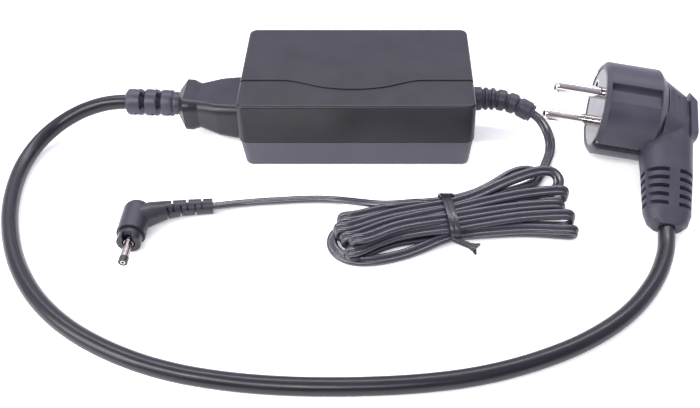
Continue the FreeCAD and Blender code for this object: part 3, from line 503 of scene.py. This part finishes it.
def jacket_group():
    """Extruded jacket: faint lines along the length and a slow change of gloss, from the cord's own map."""
    tree, given, result = new_group(
        "Extruded Jacket",
        [
            ("Dark", "Color", (0.01, 0.01, 0.01, 1)),
            ("Light", "Color", (0.02, 0.02, 0.02, 1)),
            ("Rough Low", "Float", 0.2),
            ("Rough High", "Float", 0.35),
        ],
        [("Color", "Color"), ("Roughness", "Float"), ("Height", "Float")],
    )
    place = tree.nodes.new("ShaderNodeUVMap")
    place.uv_map = "jacket"
    stretch = tree.nodes.new("ShaderNodeMapping")
    stretch.inputs["Scale"].default_value = (0.35, 14, 1)
    lines = tree.nodes.new("ShaderNodeTexNoise")
    lines.inputs["Scale"].default_value = 2.0
    lines.inputs["Detail"].default_value = 3
    tint = tree.nodes.new("ShaderNodeMix")
    tint.data_type = "RGBA"
    rough = tree.nodes.new("ShaderNodeMapRange")
    rough.inputs["From Min"].default_value = 0.35
    rough.inputs["From Max"].default_value = 0.65
    link = tree.links.new
    link(place.outputs["UV"], stretch.inputs["Vector"])
    link(stretch.outputs["Vector"], lines.inputs["Vector"])
    link(lines.outputs["Fac"], tint.inputs["Factor"])
    link(given.outputs["Dark"], tint.inputs["A"])
    link(given.outputs["Light"], tint.inputs["B"])
    link(lines.outputs["Fac"], rough.inputs["Value"])
    link(given.outputs["Rough Low"], rough.inputs["To Min"])
    link(given.outputs["Rough High"], rough.inputs["To Max"])
    link(tint.outputs["Result"], result.inputs["Color"])
    link(rough.outputs["Result"], result.inputs["Roughness"])
    link(lines.outputs["Fac"], result.inputs["Height"])
    return tree


extruded_jacket = jacket_group()


def jacket(name, dark, light, rough, depth, specular):
    """A finish for a cord, which follows the map of its skin."""
    values = {"Dark": (*dark, 1), "Light": (*light, 1), "Rough Low": rough[0], "Rough High": rough[1]}
    return grouped(name, extruded_jacket, values, 0.3, depth, specular)


lead_points, lead_marks = spline_points("mains lead line", LEAD_ROUTE, 0.0012)
lead_ahead, lead_across = level_frames(lead_points)
lead_outline = round_outline(LEAD_DIAMETER, 28)
lead_jacket = jacket(
    "mains lead jacket", (0.006, 0.0056, 0.0085), (0.011, 0.0102, 0.0155), (0.26, 0.38), 0.00003, 0.45
)
mains_lead = sweep("mains_lead", lead_points, lead_marks, lead_across, lead_ahead, lead_outline, lead_jacket)
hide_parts("mains_cord")
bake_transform(mains_lead, CONNECTOR, "adapter", start=(-0.09, 0, 0), end=(0.1, 0, 0))

# ---------------------------------------------------------------- mains plug
# An earthed plug moulded in PVC round a hard face insert. It lies on its round barrel. The pins are
# plated brass, two earth clips sit in grooves at the barrel's sides and the neck is slotted to flex.

plug_face = moulded("plug face", (0.01, 0.01, 0.013), (0.02, 0.02, 0.025), 2000, (0.12, 0.22))
pin_plate = moulded("pin plate", (0.70, 0.64, 0.60), (0.86, 0.80, 0.76), 900, (0.1, 0.2), 0.00001, metal=1.0)
finish_node(nickel, "plug_earth_tube", "plug_earth_clips")
plug_pieces = [
    merged_copy("plug_overmould", soft_pvc, softened=0.0003),
    merged_copy("plug_strain_relief", soft_pvc, softened=0.00025),
    merged_copy("plug_face_insert", plug_face),
    merged_copy("line_pin", pin_plate),
    merged_copy("neutral_pin", pin_plate),
    nodes["plug_earth_tube"],
    nodes["plug_earth_clips"],
]

# ---------------------------------------------------------------- low voltage strain relief
# A sleeve of soft PVC whose flange is held inside the brick's end wall. Outside it has a plain base, two
# thin ribs and three blocks, with waists between them that let it bend down with the cord.

SLEEVE_ROUTE = [
    (0.0424, 0.0009, 0.0135),
    (0.0470, 0.0009, 0.0135),
    (0.0520, 0.0009, 0.0135),
    (0.0577, 0.0008, 0.0134),
    (0.0634, -0.0002, 0.0127),
    (0.0686, -0.0020, 0.0113),
    (0.0734, -0.0041, 0.0093),
]
# Distances in millimetres along the sleeve: (start, end, radius) of its raised parts.
SLEEVE_PARTS = [
    (0.0, 1.4, 6.0),
    (4.8, 9.6, 5.0),
    (10.6, 12.2, 4.8),
    (13.4, 15.0, 4.7),
    (16.3, 19.7, 4.5),
    (21.0, 24.6, 4.3),
    (25.9, 31.2, 4.1),
]
SLEEVE_WAISTS = [
    (2.0, 4.4, 4.4),
    (10.0, 10.2, 4.1),
    (12.7, 12.9, 3.9),
    (15.5, 15.8, 3.7),
    (20.2, 20.5, 3.4),
    (25.1, 25.4, 3.3),
]

sleeve_profile = [(place, radius) for first, last, radius in SLEEVE_WAISTS for place in (first, last)]
for first, last, radius in SLEEVE_PARTS:
    soft = min(0.6, (last - first) * 0.4)
    for end, inward in ((first, 1), (last, -1)):
        sleeve_profile += [
            (end, radius - 0.5),
            (end + inward * soft * 0.35, radius - 0.15),
            (end + inward * soft, radius),
        ]
sleeve_points, sleeve_marks = spline_points("sleeve line", SLEEVE_ROUTE, 0.0002)
sleeve_ahead, sleeve_across = level_frames(sleeve_points)
sleeve_radii = np.interp(sleeve_marks * 1000, *zip(*sorted(sleeve_profile)))
UNIT_DIAMETER = 0.002  # a radius of one millimetre, which the radii multiply
low_voltage_relief = sweep(
    "low_voltage_relief",
    sleeve_points,
    sleeve_marks,
    sleeve_across,
    sleeve_ahead,
    round_outline(UNIT_DIAMETER, 36),
    soft_pvc,
    sleeve_radii,
    crease=80,
)
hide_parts("dc_strain_relief")
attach(low_voltage_relief, "adapter")

# ---------------------------------------------------------------- low voltage cord
# A flat twin cord of two PVC ribs side by side. From the brick it drops to the table, is wound back and
# forth into a hank of six turns, and runs on to its plug.

RIB_DIAMETER = 0.00215
# The route's points are in millimetres.
FROM_BRICK = [
    (73.0, -3.9, 9.5),
    (75.2, -4.8, 8.5),
    (77.6, -6.6, 6.6),
    (79.6, -9.8, 4.4),
    (80.6, -14.4, 2.6),
    (79.6, -20.2, 1.6),
    (77.4, -26.0, 1.75),
    (75.0, -31.6, 1.75),
    (72.2, -37.6, 1.75),
    (68.0, -43.4, 1.75),
    (60.0, -49.0, 1.75),
    (50.0, -54.6, 1.6),
]
TO_PLUG = [
    (26.0, -56.0, 8.0),
    (18.0, -57.8, 8.8),
    (11.6, -58.4, 8.8),
    (5.6, -56.4, 7.4),
    (-0.6, -52.6, 4.8),
    (-6.8, -49.4, 2.6),
    (-13.4, -47.8, 1.5),
    (-21.0, -48.2, 1.75),
    (-28.6, -48.8, 1.75),
    (-36.4, -49.4, 1.75),
    (-43.6, -50.0, 1.5),
    (-50.0, -51.6, 2.2),
    (-56.0, -53.6, 3.0),
]
TIE_X = 35.6
TIE_Y = -62.0
# Where each pass goes through the tie: (behind the middle, height).
TIE_PLACES = [
    (-3.2, 3.9),
    (-7.4, 3.9),
    (-6.6, 1.7),
    (-6.0, 6.1),
    (-2.2, 1.7),
    (-2.6, 8.0),
    (2.2, 1.7),
    (1.0, 8.5),
    (6.4, 1.7),
    (4.4, 8.4),
    (4.8, 3.9),
    (7.2, 6.9),
    (8.0, 4.5),
]
# The folds at the hank's left end: (tip x, tip y, low, high, how far its passes bow out to the back).
# The first turn is a wide loop on the table instead.
LEFT_FOLDS = [
    None,
    (-2.2, -79.2, 1.75, 5.4, 3.4),
    (-0.6, -75.8, 1.75, 8.8, 2.6),
    (-4.0, -73.0, 1.75, 7.0, 2.0),
    (-6.4, -69.4, 1.75, 8.2, 2.0),
    (-5.2, -65.0, 1.75, 9.0, 1.75),
]
WIDE_LOOP = [
    (26.0, -62.6, 1.8),
    (16.0, -62.8, 1.75),
    (6.0, -62.6, 1.75),
    (-2.0, -62.6, 1.75),
    (-7.2, -65.2, 1.75),
    (-9.0, -70.6, 1.75),
    (-7.2, -76.0, 1.75),
    (-2.6, -79.8, 1.75),
    (4.2, -80.8, 1.75),
    (12.8, -79.2, 1.75),
    (22.0, -75.8, 1.7),
]
# The folds at the right end, from the front to the back.
RIGHT_FOLDS = [
    (81.8, -67.8, 1.75, 4.8, 1.8),
    (81.0, -62.6, 1.75, 7.8, 1.4),
    (78.0, -57.6, 1.75, 8.0, 1.0),
    (80.4, -50.6, 3.4, 8.8, 1.4),
    None,
    None,
]
OPEN_LOOP = [
    (46.0, -53.0, 8.2),
    (56.0, -47.0, 8.8),
    (65.4, -42.2, 9.2),
    (72.6, -39.6, 9.2),
    (77.6, -39.6, 8.4),
    (79.8, -43.0, 6.0),
    (77.0, -46.6, 3.6),
    (70.0, -48.0, 3.4),
    (58.0, -51.4, 3.4),
    (46.0, -56.0, 3.5),
]
BACK_LOOP = [
    (46.0, -50.6, 6.6),
    (54.0, -45.2, 7.0),
    (61.0, -39.2, 7.2),
    (67.0, -36.6, 6.8),
    (71.2, -37.0, 5.8),
    (71.8, -40.2, 4.8),
    (67.6, -43.0, 4.2),
    (58.0, -46.6, 4.2),
    (46.0, -52.2, 4.2),
]


def tie_point(number):
    """Where a pass goes through the tie."""
    behind, height = TIE_PLACES[number]
    return (TIE_X, TIE_Y + behind, height)


def toward(start, end, share, bow):
    """A point between two others, pushed back a little: the passes leave the tie in a slight curve."""
    x, y, z = (a + (b - a) * share for a, b in zip(start, end))
    return x, y + bow, z


def fold_points(arrive, leave, fold, side):
    """The way out to a fold and back: side is -1 at the left end and 1 at the right."""
    x, y, low, high, bow = fold
    first, last = (low, high) if side < 0 else (high, low)
    near = x - side * ((high - low) / 2 + 1.6)
    into, out_of = (near, y, first), (near, y, last)
    middle, quarter = (first + last) / 2, (last - first) / 4
    return [
        toward(arrive, into, 0.3, 0.6 * bow),
        toward(arrive, into, 0.66, bow),
        into,
        (x - side * 0.9, y, first + quarter * 0.1),
        (x + side * 0.3, y, middle - quarter),
        (x + side * 0.3, y, middle + quarter),
        (x - side * 0.9, y, last - quarter * 0.1),
        out_of,
        toward(out_of, leave, 0.34, bow),
        toward(out_of, leave, 0.7, 0.6 * bow),
    ]


hank = []
for turn in range(6):
    going, coming = tie_point(2 * turn), tie_point(2 * turn + 1)
    hank.append(going)
    hank += fold_points(going, coming, LEFT_FOLDS[turn], -1) if LEFT_FOLDS[turn] else WIDE_LOOP
    hank.append(coming)
    following = tie_point(2 * turn + 2)
    if RIGHT_FOLDS[turn]:
        hank += fold_points(coming, following, RIGHT_FOLDS[turn], 1)
    else:
        hank += OPEN_LOOP if turn == 4 else BACK_LOOP
hank.append(tie_point(12))
cord_route = [tuple(value / 1000 for value in point) for point in FROM_BRICK + hank + TO_PLUG]

# Each rib is an arc that leaves off where the web joins the two.
RIB_RADIUS = RIB_DIAMETER / 2
RIB_OFFSET = RIB_RADIUS * 0.98
RIB_ARC = math.radians(310)
RIB_STEPS = 12
twin_outline = []
for side in (1, -1):
    for step in range(RIB_STEPS + 1):
        turn = RIB_ARC * (step / RIB_STEPS - 0.5)
        sideways = RIB_OFFSET + RIB_RADIUS * math.cos(turn)
        twin_outline.append((side * sideways, side * RIB_RADIUS * math.sin(turn)))
cord_points, cord_marks = spline_points("low voltage cord line", cord_route, 0.0007)
CORD_LEAN = math.radians(24)
cord_ahead, cord_across = level_frames(cord_points, CORD_LEAN)
cord_jacket = jacket(
    "twin cord jacket", (0.018, 0.0168, 0.0255), (0.03, 0.028, 0.042), (0.24, 0.34), 0.00002, 1.0
)
low_voltage_cord = sweep(
    "low_voltage_cord", cord_points, cord_marks, cord_across, cord_ahead, twin_outline, cord_jacket
)
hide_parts("dc_cord_hank", "dc_cord_from_brick", "dc_cord_to_plug")
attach(low_voltage_cord, "adapter")

# ---------------------------------------------------------------- twist tie
# Paper covered wire, a flat black strip. It is wrapped more than twice round the hank's waist and closed
# by twisting its two ends together.

TIE_MIDDLE = (0.0354, -0.0616, 0.00545)
TIE_HALF_DEPTH = 0.0104
TIE_HALF_HEIGHT = 0.0050
TIE_WIDTH = 0.0019
TIE_THICKNESS = 0.0005
tie_paper = moulded("tie paper", (0.008, 0.008, 0.011), (0.03, 0.029, 0.038), 900, (0.22, 0.4), 0.0001)


def strip(name, points, across):
    """A flat strip of the tie along a line, its width lying along the given directions."""
    ahead = directions(points)
    across = across - ahead * np.sum(across * ahead, axis=1, keepdims=True)
    across /= np.linalg.norm(across, axis=1, keepdims=True)
    half, thick = TIE_WIDTH / 2, TIE_THICKNESS / 2
    outline = [
        (-half, -thick),
        (-half * 0.4, -thick * 1.5),
        (half * 0.4, -thick * 1.5),
        (half, -thick),
        (half, thick),
        (half * 0.4, thick * 1.7),
        (-half * 0.4, thick * 1.7),
        (-half, thick),
    ]
    return sweep(name, points, np.linspace(0, 1, len(points)), across, ahead, outline, tie_paper)


# The wraps are a squarish ring round the passes. Each next one lies a little further along the hank.
WRAP_TURNS = 2.6
WRAP_STEPS = 150
WRAP_START = math.radians(200)
WRAP_SQUARENESS = 2.6
WRAP_PITCH = 0.0017
WRAP_SLANT = -0.0016
wraps = []
for step in range(WRAP_STEPS + 1):
    turned = WRAP_TURNS * step / WRAP_STEPS
    angle = WRAP_START + 2 * math.pi * turned
    corner = abs(math.cos(angle)) ** WRAP_SQUARENESS + abs(math.sin(angle)) ** WRAP_SQUARENESS
    reach = corner ** (-1 / WRAP_SQUARENESS)
    back, up = math.cos(angle) * reach, math.sin(angle) * reach
    along = WRAP_SLANT * back + WRAP_PITCH * (turned - WRAP_TURNS / 2)
    wraps.append(np.add(TIE_MIDDLE, (along, TIE_HALF_DEPTH * back, TIE_HALF_HEIGHT * up)))
wraps = np.array(wraps)
tie_pieces = [strip("tie_wraps", wraps, np.tile([1.0, 0.0, 0.0], (len(wraps), 1)))]

# The two ends twist round each other and part at their tips.
TAIL_START, TAIL_END = Vector((0.0362, -0.0722, 0.0046)), Vector((0.0446, -0.0756, 0.0030))
TAIL_TURNS = 2.4
TAIL_STEPS = 60
TAIL_SPREAD = 0.0007
TIP_SPREAD = 0.0009
TIP_SHARE = 0.28
tail_line = (TAIL_END - TAIL_START).normalized()
tail_side = tail_line.cross(Vector((0, 0, 1))).normalized()
tail_up = tail_side.cross(tail_line)
for strand in (0, 1):
    twisted, widths = [], []
    for step in range(TAIL_STEPS + 1):
        share = step / TAIL_STEPS
        angle = math.pi * strand + 2 * math.pi * TAIL_TURNS * share
        spread = TAIL_SPREAD + TIP_SPREAD * max(0.0, share - (1 - TIP_SHARE)) / TIP_SHARE
        outward = tail_side * math.cos(angle) + tail_up * math.sin(angle)
        twisted.append(TAIL_START.lerp(TAIL_END, share) + outward * spread)
        widths.append(outward.cross(tail_line))
    tie_pieces.append(strip(f"tie_end_{strand + 1}", np.array(twisted), np.array(widths)))
for piece in tie_pieces:
    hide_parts("twist_tie")
    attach(piece, "adapter")

# ---------------------------------------------------------------- barrel plug
# The laptop end: a plated brass sleeve round a centre contact, parted from it by a resin ring at the tip.
# An angled grip and its slotted arm are moulded round it and the cord in soft PVC.

small_plug_pvc = moulded(
    "small plug pvc", (0.02, 0.0188, 0.026), (0.036, 0.034, 0.046), 1900, (0.3, 0.44), 0.00007, 0.42
)
sleeve_plate = moulded(
    "sleeve plate", (0.3, 0.26, 0.25), (0.46, 0.41, 0.4), 1200, (0.22, 0.34), 0.00001, metal=1.0
)
ring_resin = moulded("ring resin", (0.012, 0.012, 0.014), (0.03, 0.03, 0.034), 1500, (0.25, 0.35))
finish_node(nickel, "dc_plug_contact")
barrel_pieces = [
    merged_copy("dc_plug_grip", small_plug_pvc, softened=0.0002),
    merged_copy("dc_plug_sleeve", sleeve_plate),
    merged_copy("dc_plug_insulator", ring_resin),
    nodes["dc_plug_contact"],
]

# ---------------------------------------------------------------- floor, light and camera
# A white table in a bright room, darker towards the viewer, with two long strip lights above and a small
# one at the left. The view is from the front and above.

floor_mesh = bpy.data.meshes.new("table")
work = bmesh.new()
bmesh.ops.create_grid(work, x_segments=1, y_segments=1, size=2.5)
work.to_mesh(floor_mesh)
work.free()
floor = bpy.data.objects.new("table", floor_mesh)
bpy.context.collection.objects.link(floor)
white = bpy.data.materials.new("white table")
white.use_nodes = True
table_top = white.node_tree.nodes["Principled BSDF"].inputs
table_top["Base Color"].default_value = (0.96, 0.96, 0.96, 1)
table_top["Roughness"].default_value = 0.8
table_top["Emission Color"].default_value = (1, 1, 1, 1)
table_top["Emission Strength"].default_value = 0.35
floor_mesh.materials.append(white)

world = bpy.context.scene.world or bpy.data.worlds.new("room")
bpy.context.scene.world = world
world.use_nodes = True
room = world.node_tree
toward_room = room.nodes.new("ShaderNodeTexCoord")
split = room.nodes.new("ShaderNodeSeparateXYZ")
depth = room.nodes.new("ShaderNodeMapRange")
depth.inputs["From Min"].default_value = -0.9
depth.inputs["From Max"].default_value = 0.7
depth.inputs["To Min"].default_value = 0.22
depth.inputs["To Max"].default_value = 1.2
room.links.new(toward_room.outputs["Generated"], split.inputs[0])
room.links.new(split.outputs["Y"], depth.inputs["Value"])
room.links.new(depth.outputs["Result"], room.nodes["Background"].inputs["Strength"])
room.nodes["Background"].inputs["Color"].default_value = (0.93, 0.905, 1.12, 1)


def soft_light(name, place, target, width, depth, power):
    """A rectangular lamp at a place, facing a target."""
    lamp = bpy.data.lights.new(name, "AREA")
    lamp.shape = "RECTANGLE"
    lamp.size = width
    lamp.size_y = depth
    lamp.energy = power
    holder = bpy.data.objects.new(name, lamp)
    bpy.context.collection.objects.link(holder)
    holder.location = place
    holder.rotation_euler = (Vector(target) - Vector(place)).to_track_quat("-Z", "Y").to_euler()


soft_light("strip over the camera", (-0.3, -0.6, 0.76), (0.0, -0.05, 0.0), 0.9, 0.09, 6.5)
soft_light("strip behind", (0.0, 0.35, 0.7), (0.0, -0.05, 0.0), 1.0, 0.07, 4.0)
soft_light("left", (-0.42, -0.25, 0.26), (-0.02, -0.05, 0.0), 0.25, 0.25, 1.3)
bpy.context.scene.view_settings.view_transform = "Standard"

camera_data = bpy.data.cameras.new("view")
camera_data.lens = 43.3
camera_data.sensor_width = 36
camera_data.shift_x = -0.0457
camera_data.clip_start = 0.01
camera = bpy.data.objects.new("view", camera_data)
bpy.context.collection.objects.link(camera)
camera.location = (0.01006, -0.285, 0.2294)
camera.rotation_euler = (math.radians(45.8), 0, 0)
bpy.context.scene.camera = camera
